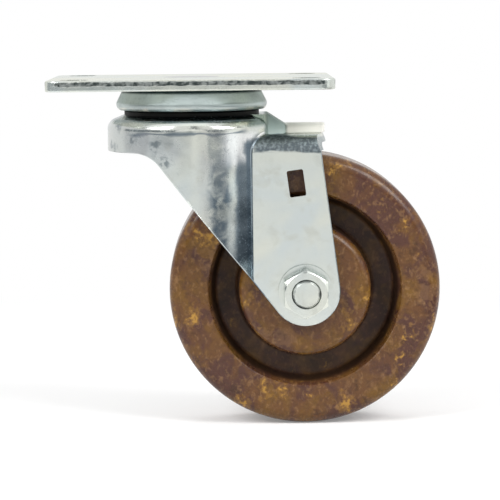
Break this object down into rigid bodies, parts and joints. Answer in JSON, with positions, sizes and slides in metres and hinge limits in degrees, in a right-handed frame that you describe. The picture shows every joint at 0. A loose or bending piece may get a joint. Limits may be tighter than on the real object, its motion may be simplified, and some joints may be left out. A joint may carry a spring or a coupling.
{
  "type": "swivel plate castor",
  "caption": "Swivel castor with a slotted top plate, double ball race, pressed steel fork with a raised web, and a moulded phenolic wheel on a roller bearing.",
  "frame": {"origin": "centre of the top plate's mounting face, on the swivel axis", "axes": "+Z out of the mounting face, +X from the swivel axis towards the wheel, Y along the axle"},
  "size_m": [0.1454, 0.0794, 0.1302],
  "materials": {
    "plate_zinc": "bright zinc plated",
    "cup_zinc": "bright zinc plated",
    "fork_zinc": "bright zinc plated",
    "fastener_zinc": "bright zinc plated",
    "pin_steel": "plated, satin",
    "race_steel": "hardened, ground",
    "ball_steel": "polished",
    "seal_rubber": "matt black",
    "wheel_phenolic": "moulded, brown with amber flecks, semi gloss",
    "cage_polymer": "moulded"
  },
  "bodies": {
    "plate_side": {"top_plate": "plate_zinc", "upper_race_cup": "cup_zinc", "kingpin": "pin_steel", "kingpin_nut": "pin_steel", "lower_race": "race_steel"},
    "upper_ball_ring": {"upper_balls": "ball_steel"},
    "lower_ball_ring": {"lower_balls": "ball_steel"},
    "fork_side": {"fork": "fork_zinc", "dust_seal": "seal_rubber", "axle_bolt": "fastener_zinc", "axle_nut": "fastener_zinc", "nut_washer": "fastener_zinc", "head_washer": "fastener_zinc", "axle_sleeve": "race_steel", "thrust_washer_near": "race_steel", "thrust_washer_far": "race_steel"},
    "wheel_side": {"wheel": "wheel_phenolic"},
    "bearing_cage": {"roller_cage": "cage_polymer"},
    "roller_1_body": {"roller_1": "ball_steel"},
    "roller_2_body": {"roller_2": "ball_steel"},
    "roller_3_body": {"roller_3": "ball_steel"},
    "roller_4_body": {"roller_4": "ball_steel"},
    "roller_5_body": {"roller_5": "ball_steel"},
    "roller_6_body": {"roller_6": "ball_steel"},
    "roller_7_body": {"roller_7": "ball_steel"},
    "roller_8_body": {"roller_8": "ball_steel"}
  },
  "joints": [
    {"name": "fork_swivel", "type": "hinge", "parent": "plate_side", "child": "fork_side", "pos_m": [0, 0, 0], "axis": [0, 0, 1], "continuous": true},
    {"name": "upper_ball_orbit", "type": "hinge", "parent": "plate_side", "child": "upper_ball_ring", "pos_m": [0, 0, 0], "axis": [0, 0, 1], "continuous": true},
    {"name": "lower_ball_orbit", "type": "hinge", "parent": "plate_side", "child": "lower_ball_ring", "pos_m": [0, 0, 0], "axis": [0, 0, 1], "continuous": true},
    {"name": "wheel_spin", "type": "hinge", "parent": "fork_side", "child": "wheel_side", "pos_m": [0.0418, 0, -0.0794], "axis": [0, 1, 0], "continuous": true},
    {"name": "cage_orbit", "type": "hinge", "parent": "fork_side", "child": "bearing_cage", "pos_m": [0.0418, 0, -0.0794], "axis": [0, 1, 0], "continuous": true},
    {"name": "roller_1_spin", "type": "hinge", "parent": "bearing_cage", "child": "roller_1_body", "pos_m": [0.0502, 0, -0.0794], "axis": [0, 1, 0], "continuous": true},
    {"name": "roller_2_spin", "type": "hinge", "parent": "bearing_cage", "child": "roller_2_body", "pos_m": [0.04774, 0, -0.07346], "axis": [0, 1, 0], "continuous": true},
    {"name": "roller_3_spin", "type": "hinge", "parent": "bearing_cage", "child": "roller_3_body", "pos_m": [0.0418, 0, -0.071], "axis": [0, 1, 0], "continuous": true},
    {"name": "roller_4_spin", "type": "hinge", "parent": "bearing_cage", "child": "roller_4_body", "pos_m": [0.03586, 0, -0.07346], "axis": [0, 1, 0], "continuous": true},
    {"name": "roller_5_spin", "type": "hinge", "parent": "bearing_cage", "child": "roller_5_body", "pos_m": [0.0334, 0, -0.0794], "axis": [0, 1, 0], "continuous": true},
    {"name": "roller_6_spin", "type": "hinge", "parent": "bearing_cage", "child": "roller_6_body", "pos_m": [0.03586, 0, -0.08534], "axis": [0, 1, 0], "continuous": true},
    {"name": "roller_7_spin", "type": "hinge", "parent": "bearing_cage", "child": "roller_7_body", "pos_m": [0.0418, 0, -0.0878], "axis": [0, 1, 0], "continuous": true},
    {"name": "roller_8_spin", "type": "hinge", "parent": "bearing_cage", "child": "roller_8_body", "pos_m": [0.04774, 0, -0.08534], "axis": [0, 1, 0], "continuous": true}
  ],
  "couplings": [
    {"joint": "upper_ball_orbit", "follows": "fork_swivel", "ratio": 0.5},
    {"joint": "lower_ball_orbit", "follows": "fork_swivel", "ratio": 0.5787},
    {"joint": "cage_orbit", "follows": "wheel_spin", "ratio": 0.622},
    {"joint": "roller_1_spin", "follows": "wheel_spin", "ratio": 1.9748},
    {"joint": "roller_2_spin", "follows": "wheel_spin", "ratio": 1.9748},
    {"joint": "roller_3_spin", "follows": "wheel_spin", "ratio": 1.9748},
    {"joint": "roller_4_spin", "follows": "wheel_spin", "ratio": 1.9748},
    {"joint": "roller_5_spin", "follows": "wheel_spin", "ratio": 1.9748},
    {"joint": "roller_6_spin", "follows": "wheel_spin", "ratio": 1.9748},
    {"joint": "roller_7_spin", "follows": "wheel_spin", "ratio": 1.9748},
    {"joint": "roller_8_spin", "follows": "wheel_spin", "ratio": 1.9748}
  ]
}
